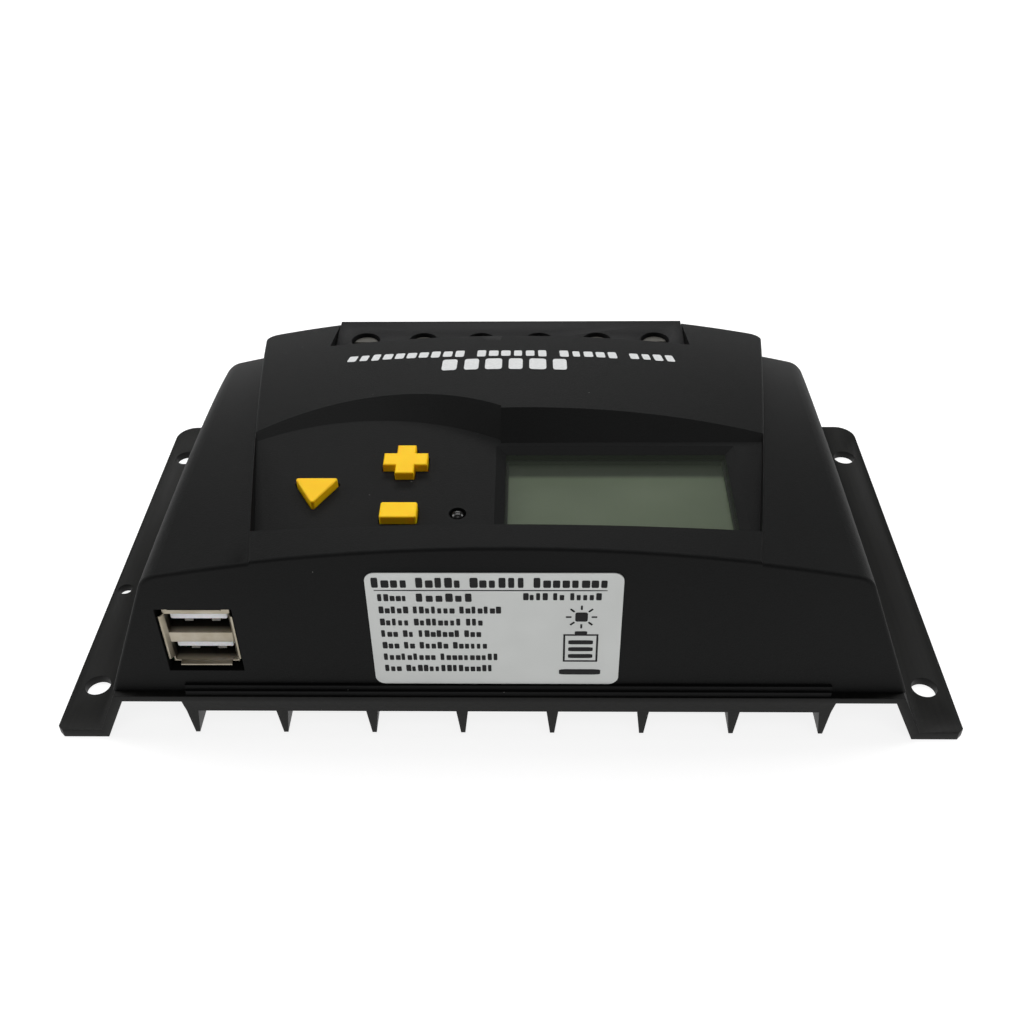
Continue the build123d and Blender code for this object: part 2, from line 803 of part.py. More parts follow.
with BuildPart() as terminal_housing:
    with BuildSketch(Plane.XY.offset(board_top)):
        with Locations((block_x, (block_front + block_back) / 2)):
            Rectangle(block_width, block_length)
    extrude(amount=block_top - board_top)
    for terminal_x in terminal_xs:
        with BuildSketch(Plane.XY.offset(board_top + block_floor)):
            with Locations((terminal_x, terminal_y)):
                Rectangle(clamp_width + 2 * fit_gap, chamber_length)
        extrude(amount=chamber_top - board_top - block_floor, mode=Mode.SUBTRACT)
        with BuildSketch(Plane.XY.offset(chamber_top)):
            with Locations((terminal_x, terminal_y)):
                Circle(terminal_screw_r + fit_gap)
        extrude(amount=far_above, mode=Mode.SUBTRACT)
        with BuildSketch(Plane.XY.offset(shoulder_top)):
            with Locations((terminal_x, terminal_y)):
                Circle(well_r)
        extrude(amount=far_above, mode=Mode.SUBTRACT)
        with BuildSketch(Plane.XZ.offset(-block_back)):
            with Locations((terminal_x, (wire_bottom + wire_top) / 2)):
                Rectangle(entry_width, wire_top - wire_bottom + 2 * fit_gap)
        extrude(amount=well_setback, mode=Mode.SUBTRACT)
        with BuildSketch(Plane.XZ.offset(-block_back)):
            with Locations((terminal_x, (wire_bottom + wire_top) / 2)):
                RectangleRounded(entry_width + funnel_grow, wire_top - wire_bottom + funnel_grow, 1.5)
        extrude(amount=funnel_depth, taper=30, mode=Mode.SUBTRACT)
        with BuildSketch(Plane.YZ.offset(terminal_x)):
            Polygon(
                (bar_front - running_gap, board_top),
                (bar_front + bar_thickness + running_gap, board_top),
                (bar_front + bar_thickness + running_gap, bar_top - bar_thickness - running_gap),
                (terminal_y, bar_top - bar_thickness - running_gap),
                (terminal_y, bar_top + running_gap),
                (bar_front - running_gap, bar_top + running_gap),
                align=None,
            )
        extrude(amount=bar_width / 2 + running_gap, both=True, mode=Mode.SUBTRACT)
finish(terminal_housing.part, "terminal_housing")

with BuildPart() as terminal_bars:
    for terminal_x in terminal_xs:
        with BuildSketch(Plane.YZ.offset(terminal_x)):
            Polygon(
                (bar_front, board_top),
                (bar_front + bar_thickness, board_top),
                (bar_front + bar_thickness, bar_top - bar_thickness),
                (terminal_y + clamp_length / 2, bar_top - bar_thickness),
                (terminal_y + clamp_length / 2, bar_top),
                (bar_front, bar_top),
                align=None,
            )
        extrude(amount=bar_width / 2, both=True)
finish(terminal_bars.part, "terminal_bars")

for number, terminal_x in enumerate(terminal_xs, start=1):
    with BuildPart() as clamp:
        with BuildSketch(Plane.XZ.offset(-(terminal_y - clamp_length / 2))):
            with Locations((terminal_x, (clamp_bottom + clamp_top) / 2)):
                RectangleRounded(clamp_width, clamp_height, 0.6)
            with Locations((terminal_x, (wire_bottom + clamp_top - clamp_roof) / 2)):
                Rectangle(
                    clamp_width - 2 * clamp_side,
                    clamp_top - clamp_roof - wire_bottom,
                    mode=Mode.SUBTRACT,
                )
        extrude(amount=-clamp_length)
        with BuildSketch(Plane.XY.offset(clamp_top - clamp_roof)):
            with Locations((terminal_x, terminal_y)):
                Circle(terminal_screw_r + running_gap)
        extrude(amount=clamp_roof, mode=Mode.SUBTRACT)
    finish(clamp.part, f"wire_clamp_{number}")

    with BuildPart() as terminal_screw:
        with BuildSketch(Plane.XY.offset(shoulder_top)):
            with Locations((terminal_x, terminal_y)):
                Circle(terminal_head_r)
        extrude(amount=terminal_head_height)
        fillet(terminal_screw.faces().sort_by(Axis.Z)[-1].edges(), 0.4)
        with BuildSketch(Plane.XY.offset(shoulder_top + terminal_head_height)):
            with Locations((terminal_x, terminal_y)):
                Rectangle(2 * terminal_head_r, 0.9)
        extrude(amount=-terminal_head_height / 2, mode=Mode.SUBTRACT)
        with BuildSketch(Plane.XY.offset(shoulder_top)):
            with Locations((terminal_x, terminal_y)):
                Circle(terminal_screw_r)
        extrude(amount=bar_top + fit_gap - shoulder_top + 0.2)
    finish(terminal_screw.part, f"terminal_screw_{number}")

# ---- power parts on the main board and the plate ----
core_outer_r = 15.0
core_inner_r = 8.0
core_height = 12.0
wire_size = 1.2
inductor_place = (-34.0, front_y + 68.0)
inductor_turns = 18
turn_angle = 360 / inductor_turns

with BuildPart() as inductor_core:
    with BuildSketch(Plane.XY.offset(board_top + wire_size)):
        with Locations(inductor_place):
            Circle(core_outer_r)
            Circle(core_inner_r, mode=Mode.SUBTRACT)
    extrude(amount=core_height)
finish(inductor_core.part, "inductor_core")

with BuildPart() as inductor_winding:
    core_width = core_outer_r - core_inner_r
    centre_z = board_top + wire_size + core_height / 2
    for turn in range(inductor_turns):
        heading = radians(turn * turn_angle)
        ring_plane = Plane(
            origin=(*inductor_place, centre_z),
            x_dir=(cos(heading), sin(heading), 0),
            z_dir=(-sin(heading), cos(heading), 0),
        )
        with BuildSketch(ring_plane):
            with Locations((core_inner_r + core_width / 2, 0)):
                Rectangle(core_width + 2 * wire_size, core_height + 2 * wire_size)
                Rectangle(core_width + 2 * running_gap, core_height, mode=Mode.SUBTRACT)
        extrude(amount=wire_size / 2, both=True)
finish(inductor_winding.part, "inductor_winding")

capacitor_r = 8.0
capacitor_height = 18.0
capacitor_xs = (0.0, 20.0)
capacitor_y = front_y + 66.0

for number, capacitor_x in enumerate(capacitor_xs, start=1):
    with BuildPart() as capacitor:
        with BuildSketch(Plane.XY.offset(board_top)):
            with Locations((capacitor_x, capacitor_y)):
                Circle(capacitor_r)
        extrude(amount=capacitor_height)
        fillet(capacitor.faces().sort_by(Axis.Z)[-1].edges(), 0.8)
    finish(capacitor.part, f"capacitor_{number}")

chip_size = 12.0
chip_height = 1.4
chip_place = (12.0, front_y + 26.0)

with BuildPart() as controller_chip:
    with BuildSketch(Plane.XY.offset(board_top)):
        with Locations(chip_place):
            Rectangle(chip_size, chip_size)
    extrude(amount=chip_height)
finish(controller_chip.part, "controller_chip")

pad_thickness = 0.5
pad_length = 18.0
pad_width = 66.0
power_y = front_y + 80.0
power_xs = [-24.0 + 16.0 * index for index in range(4)]
tab_size = (10.0, 15.6, 1.3)
body_size = (10.0, 9.2, 4.5)
lead_pitch = 2.54
lead_width = 0.8
lead_height = 2.0

with BuildPart() as thermal_pad:
    with BuildSketch(Plane.XY.offset(plate_top)):
        with Locations((0, power_y)):
            Rectangle(pad_width, pad_length)
    extrude(amount=pad_thickness)
finish(thermal_pad.part, "thermal_pad")

with BuildPart() as power_transistors:
    pad_top = plate_top + pad_thickness
    for power_x in power_xs:
        with BuildSketch(Plane.XY.offset(pad_top)):
            with Locations((power_x, power_y)):
                Rectangle(tab_size[0], tab_size[1])
        extrude(amount=tab_size[2])
        with BuildSketch(Plane.XY.offset(pad_top)):
            with Locations((power_x, power_y - (tab_size[1] - body_size[1]) / 2)):
                Rectangle(body_size[0], body_size[1])
        extrude(amount=body_size[2])
        with BuildSketch(Plane.XY.offset(pad_top + lead_height)):
            with Locations((power_x, power_y - 9.6)):
                with GridLocations(lead_pitch, 0, 3, 1):
                    Rectangle(lead_width, 3.6)
        extrude(amount=0.5)
        with BuildSketch(Plane.XY.offset(pad_top + lead_height)):
            with Locations((power_x, power_y - 11.1)):
                with GridLocations(lead_pitch, 0, 3, 1):
                    Rectangle(lead_width, 0.6)
        extrude(amount=board_bottom - pad_top - lead_height)
finish(power_transistors.part, "power_transistors")

link_place = (-14.0, front_y + 44.0)
link_size = (20.0, 5.0)

with BuildPart() as board_link:
    with BuildSketch(Plane.XY.offset(board_top)):
        with Locations(link_place):
            Rectangle(*link_size)
    extrude(amount=far_above)
    split(bisect_by=board_back, keep=Keep.BOTTOM)
finish(board_link.part, "board_link")
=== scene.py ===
import math
import random

import bmesh
import bpy
from mathutils import Matrix, Vector


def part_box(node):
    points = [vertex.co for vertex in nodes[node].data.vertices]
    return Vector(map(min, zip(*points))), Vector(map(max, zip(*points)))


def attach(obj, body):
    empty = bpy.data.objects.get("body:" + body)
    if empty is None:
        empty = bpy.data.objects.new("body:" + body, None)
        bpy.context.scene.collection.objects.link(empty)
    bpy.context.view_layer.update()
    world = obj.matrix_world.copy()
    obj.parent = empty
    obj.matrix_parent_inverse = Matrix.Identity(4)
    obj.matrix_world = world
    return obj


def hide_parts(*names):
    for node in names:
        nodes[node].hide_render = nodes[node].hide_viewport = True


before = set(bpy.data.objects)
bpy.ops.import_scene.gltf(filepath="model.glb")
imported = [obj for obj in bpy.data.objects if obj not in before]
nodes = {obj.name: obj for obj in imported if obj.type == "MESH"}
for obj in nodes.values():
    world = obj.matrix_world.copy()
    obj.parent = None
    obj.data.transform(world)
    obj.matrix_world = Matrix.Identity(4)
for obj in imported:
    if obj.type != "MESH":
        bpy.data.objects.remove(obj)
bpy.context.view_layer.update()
bpy.ops.object.select_all(action="DESELECT")


# ---- Room ----
# The controller lies on a pale table with its mounting flanges down, seen from in front of the
# socket wall and well above it. Large soft lamps stand over it and on every side.
class Tone:
    """A number or colour on its way through a finish. Sums on it add Math nodes."""

    def __init__(self, finish, socket):
        self.finish = finish
        self.socket = socket

    def maths(self, operation, first, second):
        return self.finish.node("ShaderNodeMath", {"operation": operation}, {0: first, 1: second})

    def __add__(self, other):
        return self.maths("ADD", self, other)

    def __mul__(self, other):
        return self.maths("MULTIPLY", self, other)

    def __lt__(self, other):
        return self.maths("LESS_THAN", self, other)

    def __gt__(self, other):
        return self.maths("GREATER_THAN", self, other)

    __radd__ = __add__
    __rmul__ = __mul__


class Finish:
    """A procedural material. node() adds one node to it and gives() feeds the surface."""

    def __init__(self, name, **constants):
        self.material = bpy.data.materials.new(name)
        self.material.use_nodes = True
        self.nodes = self.material.node_tree.nodes
        self.links = self.material.node_tree.links
        self.surface = self.nodes["Principled BSDF"]
        for socket, value in constants.items():
            self.surface.inputs[socket.replace("_", " ")].default_value = value

    def feed(self, socket, value):
        if isinstance(value, Tone):
            self.links.new(value.socket, socket)
        else:
            socket.default_value = value

    def node(self, kind, settings, inputs, output=0):
        made = self.nodes.new(kind)
        for name, value in settings.items():
            setattr(made, name, value)
        for name, value in inputs.items():
            self.feed(made.inputs[name], value)
        return Tone(self, made.outputs[output])

    def gives(self, **values):
        for name, value in values.items():
            self.feed(self.surface.inputs[name.replace("_", " ")], value)
        return self.material

    def noise(self, scale, stretch=(1.0, 1.0, 1.0), detail=2.0):
        """Cloudy noise whose cells are a metre divided by scale, drawn out along an axis by stretch."""
        place = self.node("ShaderNodeTexCoord", {}, {}, "Object")
        place = self.node("ShaderNodeMapping", {}, {"Vector": place, "Scale": stretch})
        return self.node("ShaderNodeTexNoise", {}, {"Vector": place, "Scale": scale, "Detail": detail})

    def specks(self, scale, size):
        """Scattered dots, one or none in each cell of a metre divided by scale."""
        place = self.node("ShaderNodeTexCoord", {}, {}, "Object")
        cell = self.node("ShaderNodeTexVoronoi", {}, {"Vector": place, "Scale": scale}, "Distance")
        return cell < size

    def clip(self, tone, low, high):
        """The tone stretched so that low becomes 0 and high becomes 1."""
        return self.node("ShaderNodeMapRange", {"clamp": True}, {0: tone, 1: low, 2: high})

    def mix(self, mask, dark, light):
        return self.node("ShaderNodeMix", {"data_type": "RGBA"}, {0: mask, 6: dark, 7: light}, 2)

    def bump(self, height, depth):
        return self.node("ShaderNodeBump", {}, {"Height": height, "Distance": depth})


camera_data = bpy.data.cameras.new("camera")
camera_data.lens = 40.96
camera_data.sensor_width = 36.0
camera_data.shift_y = -0.001
camera = bpy.data.objects.new("camera", camera_data)
bpy.context.collection.objects.link(camera)
camera.matrix_world = Matrix.LocRotScale(
    Vector((0.00526, -0.21372, 0.18912)),
    Matrix((
        (0.9998368, 0.0, 0.0180657),
        (0.0140465, 0.6288559, -0.7773950),
        (-0.0113607, 0.7775219, 0.6287532),
    )).to_quaternion(),
    Vector((1, 1, 1)),
)
bpy.context.scene.camera = camera
bpy.context.scene.view_settings.view_transform = "Standard"


def soft_lamp(name, place, aim, size, power):
    data = bpy.data.lights.new(name, "AREA")
    data.shape = "RECTANGLE"
    data.size, data.size_y = size
    data.energy = power
    lamp = bpy.data.objects.new(name, data)
    bpy.context.collection.objects.link(lamp)
    lamp.location = place
    lamp.rotation_euler = (Vector(aim) - Vector(place)).to_track_quat("-Z", "Y").to_euler()


soft_lamp("overhead_lamp", (0.0, 0.3, 1.0), (0.0, 0.0, 0.0), (1.0, 0.5), 5.4)
soft_lamp("front_lamp", (0.1, -0.7, 1.1), (0.0, 0.0, 0.02), (0.9, 0.4), 1.7)
soft_lamp("left_lamp", (-1.0, 0.2, 0.6), (0.0, 0.0, 0.02), (0.6, 0.6), 5.2)
soft_lamp("right_lamp", (1.0, 0.3, 0.6), (0.0, 0.0, 0.02), (0.5, 0.5), 4.2)
soft_lamp("back_lamp", (-0.1, 1.2, 0.74), (0.0, 0.0, 0.03), (1.0, 0.3), 4.0)

# the room is seen as white as the table, and lights the controller far less
world = bpy.data.worlds.new("studio")
world.use_nodes = True
walls = world.node_tree
background = walls.nodes["Background"]
background.inputs["Color"].default_value = (1.0, 1.0, 1.0, 1.0)
seen = walls.nodes.new("ShaderNodeLightPath")
glow = walls.nodes.new("ShaderNodeMapRange")
glow.inputs["To Min"].default_value = 0.12
glow.inputs["To Max"].default_value = 1.0
walls.links.new(seen.outputs["Is Camera Ray"], glow.inputs["Value"])
walls.links.new(glow.outputs["Result"], background.inputs["Strength"])
bpy.context.scene.world = world

bpy.ops.mesh.primitive_plane_add(size=6.0, location=(0, 0, 0))
table_top = bpy.context.active_object
table_top.name = "table_top"
paper = Finish(
    "white_paper", Roughness=0.9, Specular_IOR_Level=0.1, Emission_Strength=0.86,
    Emission_Color=(1.0, 1.0, 1.0, 1.0),
)
table_top.data.materials.append(paper.gives(Base_Color=(0.35, 0.35, 0.35, 1.0)))


# ---- Heat sink ----
# One length of extruded aluminium with eight tapered fins, two slanted walls and a flange along
# each side, sawn to length, drilled for its wall screws and anodised black.
def new_piece(name, mesh):
    """Makes an object of a mesh, selects it alone and makes it active."""
    bpy.ops.object.select_all(action="DESELECT")
    piece = bpy.data.objects.new(name, mesh)
    bpy.context.collection.objects.link(piece)
    bpy.context.view_layer.objects.active = piece
    piece.select_set(True)
    return piece


def welded(node):
    """A copy of a CAD part with its triangles joined up, and its flat faces made whole."""
    piece = new_piece(node + "_finished", nodes[node].data.copy())
    bpy.ops.object.mode_set(mode="EDIT")
    bpy.ops.mesh.select_all(action="SELECT")
    bpy.ops.mesh.remove_doubles(threshold=2e-6)
    bpy.ops.mesh.dissolve_limited(angle_limit=math.radians(0.6))
    bpy.ops.object.mode_set(mode="OBJECT")
    return piece


def break_edges(piece, width, angle=28.0, segments=2):
    """Rounds every edge sharper than the angle, as tumbling or a mould's corners leave them."""
    edge = piece.modifiers.new("broken_edges", "BEVEL")
    edge.width = width
    edge.segments = segments
    edge.limit_method = "ANGLE"
    edge.angle_limit = math.radians(angle)
    edge.use_clamp_overlap = True
    bpy.context.view_layer.objects.active = piece
    bpy.ops.object.modifier_apply(modifier=edge.name)
    bpy.ops.object.shade_smooth_by_angle(angle=math.radians(40))


def place_piece(piece, body, slot, finish, *stands_for):
    piece.data.materials.clear()
    piece.data.materials.append(finish)
    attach(piece, body)
    if stands_for:
        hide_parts(*stands_for)


def paint(finish, *names):
    """Gives CAD parts that are shown as they are their finish."""
    for name in names:
        nodes[name].data.materials.clear()
        nodes[name].data.materials.append(finish)


anodised = Finish("anodised_sink", Specular_IOR_Level=0.14)
die_lines = anodised.noise(900.0, (1.0, 0.012, 1.0), 3.0)
patches = anodised.noise(45.0)
anodised_black = anodised.gives(
    Base_Color=anodised.mix(
        anodised.clip(die_lines * 0.6 + patches * 0.4, 0.35, 0.7),
        (0.0046, 0.0046, 0.0042, 1.0),
        (0.0090, 0.0090, 0.0082, 1.0),
    ),
    Roughness=0.34 + die_lines * 0.16 + patches * 0.08,
    Normal=anodised.bump(die_lines + anodised.noise(4200.0) * 0.3, 0.00004),
)
sink = welded("heat_sink")
break_edges(sink, 0.0004, segments=3)
place_piece(sink, "housing", "anodised_sink", anodised_black, "heat_sink")

# ---- Moulded cover ----
# One injection moulding in black ABS with a fine spark texture. Four screws hold it from under
# the heat sink, and the raised centre band carries the sunk key and display panel.
cover = Finish("cover_plastic", Specular_IOR_Level=0.09)
spark = cover.noise(2600.0, detail=4.0)
flow = cover.noise(28.0, (1.0, 0.35, 1.0), 3.0)
dust = cover.specks(150.0, 0.022) * cover.clip(cover.noise(60.0), 0.45, 0.5)
cover_black = cover.gives(
    Base_Color=cover.mix(
        dust,
        cover.mix(
            cover.clip(flow * 0.7 + spark * 0.3, 0.3, 0.7),
            (0.0042, 0.0044, 0.0044, 1.0),
            (0.0072, 0.0075, 0.0074, 1.0),
        ),
        (0.12, 0.12, 0.115, 1.0),
    ),
    Roughness=0.5 + flow * 0.1 + spark * 0.08,
    Normal=cover.bump(spark, 0.00005),
)
paint(cover_black, "top_cover")

# ---- Rating label ----
# A silver polyester sticker with rounded corners, pressed on to the middle of the socket wall.
# Its print is plain marks laid out like a data plate, with no words.
film = Finish("label_film", Specular_IOR_Level=0.5)
film_cloud = film.noise(70.0)
label_silver = film.gives(
    Base_Color=film.mix(
        film.clip(film_cloud, 0.3, 0.7), (0.58, 0.595, 0.58, 1.0), (0.64, 0.655, 0.64, 1.0)
    ),
    Roughness=0.38 + film_cloud * 0.12,
    Metallic=0.12 + film_cloud * 0.1,
    Normal=film.bump(film.noise(1500.0), 0.00001),
)
paint(label_silver, "rating_label")

ink = Finish("black_ink", Specular_IOR_Level=0.15)
ink_cover = ink.noise(2500.0)
black_ink = ink.gives(
    Base_Color=ink.mix(ink_cover, (0.004, 0.004, 0.0045, 1.0), (0.010, 0.010, 0.011, 1.0)),
    Roughness=0.4 + ink_cover * 0.15,
)

label_low, label_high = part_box("rating_label")
ink_depth = 0.00003

# one mark of print: a thin block with its upright edges rounded
bpy.ops.mesh.primitive_cube_add(size=1.0)
mark = bpy.context.active_object
bpy.ops.object.mode_set(mode="EDIT")
bpy.ops.mesh.select_all(action="DESELECT")
shaping = bmesh.from_edit_mesh(mark.data)
for edge in shaping.edges:
    edge.select_set(abs(edge.verts[0].co.y - edge.verts[1].co.y) > 0.5)
bmesh.update_edit_mesh(mark.data)
bpy.ops.mesh.bevel(offset=0.16, segments=2, affect="EDGES")
bpy.ops.object.mode_set(mode="OBJECT")
mark_mesh = mark.data
bpy.data.objects.remove(mark)


def printed(name, places):
    """Joins a copy of the mark for each placing into one piece of print."""
    joined = bmesh.new()
    for place in places:
        stamped = mark_mesh.copy()
        stamped.transform(place)
        joined.from_mesh(stamped)
        bpy.data.meshes.remove(stamped)
    mesh = bpy.data.meshes.new(name)
    joined.to_mesh(mesh)
    joined.free()
    return new_piece(name, mesh)


def on_label(across, down, width, height, turn=0.0):
    """A mark's placing on the label, measured in millimetres from its top left corner."""
    return Matrix.LocRotScale(
        Vector((
            label_low.x + (across + width / 2) / 1000,
            label_low.y - ink_depth / 2,
            label_high.z - down / 1000,
        )),
        Matrix.Rotation(turn, 3, "Y").to_quaternion(),
        Vector((width / 1000, ink_depth, height / 1000)),
    )


tall_share = 0.28
short_rise = 0.74


def word_marks(left, down, letters, height, advance, chance):
    """Marks for one word: a block for each letter, some tall and some short."""
    blocks = []
    for index in range(letters):
        tall = index == 0 or chance.random() < tall_share
        rise = height if tall else height * short_rise
        width = advance * chance.uniform(0.58, 0.86)
        blocks.append((left + index * advance, down + (height - rise) / 2, width, rise))
    return blocks


chance = random.Random(11)
word_gap = 0.62
label_rows = [
    # left, down, letter height, letter advance, letters in each word
    (1.2, 2.4, 2.5, 1.80, (4, 5, 6, 8)),
    (2.1, 6.2, 1.8, 1.16, (5,)),
    (9.4, 6.2, 2.1, 1.85, (6,)),
    (29.6, 5.9, 1.8, 1.22, (4, 2, 5)),
    (2.1, 9.4, 1.8, 1.16, (5, 7, 7)),
    (2.1, 12.6, 1.8, 1.16, (5, 8, 3)),
    (2.1, 15.7, 1.8, 1.16, (3, 2, 7, 3)),
    (2.1, 18.9, 1.8, 1.16, (3, 2, 5, 6)),
    (2.1, 22.1, 1.8, 1.16, (9, 10)),
    (2.1, 25.3, 1.8, 1.16, (3, 15)),
]
label_marks = []
for left, down, height, advance, words in label_rows:
    for letters in words:
        label_marks += word_marks(left, down, letters, height, advance, chance)
        left += (letters + word_gap) * advance

# a ruled line under the heading, and a solid bar at the foot
label_marks.append((1.6, 4.35, 43.8, 0.25))
label_marks.append((36.6, 26.3, 8.2, 1.5))

# a sun: a ring of short rays round a disc
line_width = 0.4
sun_across, sun_down, sun_size = 40.7, 11.2, 2.4
ray_count, ray_reach, ray_length = 8, 2.45, 1.1
for ray in range(ray_count):
    bearing = ray * math.tau / ray_count
    label_marks.append((
        sun_across + ray_reach * math.cos(bearing) - ray_length / 2,
        sun_down + ray_reach * math.sin(bearing),
        ray_length,
        line_width,
        bearing,
    ))
label_marks.append((sun_across - sun_size / 2, sun_down, sun_size, sun_size))

# a cell: a can with a terminal on top and three bars of charge inside
can_left, can_down, can_width, can_height = 37.3, 19.6, 6.8, 7.6
for side in (0.0, can_width - line_width):
    label_marks.append((can_left + side, can_down, line_width, can_height))
for side in (-1, 1):
    level = can_down + side * (can_height - line_width) / 2
    label_marks.append((can_left, level, can_width, line_width))
stud_width = 2.4
stud_left = can_left + (can_width - stud_width) / 2
label_marks.append((stud_left, can_down - can_height / 2 - line_width, stud_width, 2 * line_width))
bar_inset, bar_height = 1.0, 1.1
for level in (-1.6, 0.3, 2.2):
    bar_width = can_width - 2 * bar_inset
    label_marks.append((can_left + bar_inset, can_down + level, bar_width, bar_height))
label_print = printed("label_print", [on_label(*sizes) for sizes in label_marks])
place_piece(label_print, "housing", "label_film", black_ink)

# ---- Legend on the cover ----
# White screen print on the crown beside the terminals, read from the terminal side. A curved row
# of small marks stands over a straight row of large ones, again with no words.
legend_ink = Finish("white_ink", Specular_IOR_Level=0.4)
legend_cover = legend_ink.noise(1800.0)
white_ink = legend_ink.gives(
    Base_Color=legend_ink.mix(legend_cover, (0.52, 0.53, 0.53, 1.0), (0.74, 0.75, 0.75, 1.0)),
    Roughness=0.45 + legend_cover * 0.15,
)
crown = nodes["top_cover"]


def on_crown(across, along, width, length, turn=0.0):
    """A mark's placing on the cover, resting on whatever lies under that point, in millimetres."""
    spot = Vector((across / 1000, along / 1000, 0.2))
    _, touch, normal, _ = crown.ray_cast(spot, Vector((0, 0, -1)))
    upright = Vector((0, 0, 1)).rotation_difference(normal)
    lie = upright @ Matrix.Rotation(turn, 3, "Z").to_quaternion()
    flat = Matrix.Rotation(math.radians(90), 3, "X").to_quaternion()
    return Matrix.LocRotScale(
        touch + normal * ink_depth / 2,
        lie @ flat,
        Vector((width / 1000, ink_depth, length / 1000)),
    )


legend_places = []
arc_words = (4, 5, 6, 10)
arc_advance = 2.86
arc_radius = 330.0
arc_crest = 23.3
arc_flatness = 0.65
arc_gap = 0.8
arc_letters = sum(arc_words) + arc_gap * (len(arc_words) - 1)
reach = -arc_letters * arc_advance / 2
for letters in arc_words:
    for index in range(letters):
        middle = reach + (index + 0.5) * arc_advance
        turn = middle / arc_radius
        legend_places.append(
            on_crown(
                -middle,
                arc_crest + arc_radius * (1 - math.cos(turn)) * arc_flatness,
                arc_advance * chance.uniform(0.56, 0.8),
                3.8 if index == 0 or chance.random() < 0.3 else 3.3,
                -turn,
            )
        )
    reach += (letters + arc_gap) * arc_advance

word_letters = 6
word_advance = 5.1
word_shift = -1.3
word_line = 17.0
word_height = 6.2
for index in range(word_letters):
    across = ((word_letters - 1) / 2 - index) * word_advance + word_shift
    width = word_advance * chance.uniform(0.62, 0.8)
    legend_places.append(on_crown(across, word_line, width, word_height))
legend = printed("terminal_legend", legend_places)
place_piece(legend, "housing", "cover_plastic", white_ink)

# ---- Display ----
# A liquid crystal glass lies over a milky light guide in a black holder, with a clear acrylic
# window above it. The holder's rim hides the edge of the glass.
lens = Finish("clear_lens", Roughness=0.05, Specular_IOR_Level=0.5, IOR=1.49)
smears = lens.noise(40.0, (1.0, 0.5, 1.0), 4.0)
clear_lens = lens.gives(
    Base_Color=(0.10, 0.12, 0.09, 1.0),
    Alpha=0.10 + smears * 0.05,
    Normal=lens.bump(smears, 0.00002),
)
paint(clear_lens, "display_window")

crystal = Finish("lcd_glass", Specular_IOR_Level=0.4)
polariser = crystal.noise(55.0, (1.0, 1.4, 1.0), 3.0)
# painted shadow of the bezel along the glass's far edge, and how softly it begins
bezel_shadow_depth = 0.0058
bezel_shadow_blur = 0.0012
_, glass_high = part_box("lcd_glass")
towards_back = crystal.node("ShaderNodeTexCoord", {}, {}, "Object")
towards_back = crystal.node("ShaderNodeSeparateXYZ", {}, {0: towards_back}, "Y")
bezel_shadow_edge = glass_high.y - bezel_shadow_depth
painted_bezel_shadow = crystal.clip(towards_back, bezel_shadow_edge, bezel_shadow_edge + bezel_shadow_blur)
crystal_grey = crystal.gives(
    Base_Color=crystal.mix(
        painted_bezel_shadow,
        crystal.mix(
            crystal.clip(polariser, 0.3, 0.7), (0.082, 0.108, 0.062, 1.0), (0.098, 0.126, 0.074, 1.0)
        ),
        # painted shade: the colour of the bezel's shadow on the glass
        (0.012, 0.016, 0.009, 1.0),
    ),
    Roughness=0.28 + polariser * 0.1,
)
paint(crystal_grey, "lcd_glass")

guide = Finish("light_guide", Specular_IOR_Level=0.5, Subsurface_Weight=0.2, Subsurface_Scale=0.002)
guide_dots = guide.specks(900.0, 0.3)
milky = guide.gives(
    Base_Color=guide.mix(guide_dots, (0.78, 0.80, 0.76, 1.0), (0.9, 0.91, 0.9, 1.0)),
    Roughness=0.35 + guide_dots * 0.2,
)
paint(milky, "lcd_backlight")

moulding = Finish("black_plastic", Specular_IOR_Level=0.12)
skin = moulding.noise(1900.0, detail=3.0)
moulded_black = moulding.gives(
    Base_Color=moulding.mix(
        moulding.clip(skin, 0.3, 0.7), (0.005, 0.005, 0.0053, 1.0), (0.010, 0.010, 0.0104, 1.0)
    ),
    Roughness=0.46 + skin * 0.14,
    Normal=moulding.bump(skin, 0.00003),
)
paint(moulded_black, "lcd_holder")

# ---- Keys and status light ----
# Three yellow caps, a triangle, a plus and a bar, stand through the panel on plungers that work
# tactile switches below. The status light is a smoked epoxy dome beside them.
yellow = Finish("yellow_plastic", Specular_IOR_Level=0.2, Subsurface_Weight=0.3, Subsurface_Scale=0.0012)
pearl = yellow.noise(1400.0, detail=3.0)
handling = yellow.noise(160.0)
key_yellow = yellow.gives(
    Base_Color=yellow.mix(
        yellow.clip(handling, 0.3, 0.7), (0.95, 0.54, 0.0, 1.0), (1.0, 0.61, 0.002, 1.0)
    ),
    Roughness=0.36 + pearl * 0.14 + handling * 0.06,
    Normal=yellow.bump(pearl, 0.00002),
)
paint(key_yellow, "key_triangle", "key_plus", "key_bar")

nylon = Finish("plunger_plastic", Specular_IOR_Level=0.4)
nylon_skin = nylon.noise(1200.0)
plunger_nylon = nylon.gives(
    Base_Color=nylon.mix(nylon_skin, (0.03, 0.03, 0.032, 1.0), (0.06, 0.06, 0.062, 1.0)),
    Roughness=0.45 + nylon_skin * 0.15,
)
paint(plunger_nylon, "plunger_triangle", "plunger_plus", "plunger_bar")
paint(moulded_black, "switch_triangle", "switch_plus", "switch_bar")

epoxy = Finish("led_epoxy", Specular_IOR_Level=0.3, Coat_Roughness=0.04)
epoxy_depth = epoxy.noise(600.0)
smoked_epoxy = epoxy.gives(
    Base_Color=epoxy.mix(epoxy_depth, (0.004, 0.004, 0.004, 1.0), (0.012, 0.011, 0.011, 1.0)),
    Roughness=0.16 + epoxy_depth * 0.08,
    Coat_Weight=0.1 + epoxy_depth * 0.2,
)
paint(smoked_epoxy, "status_led")

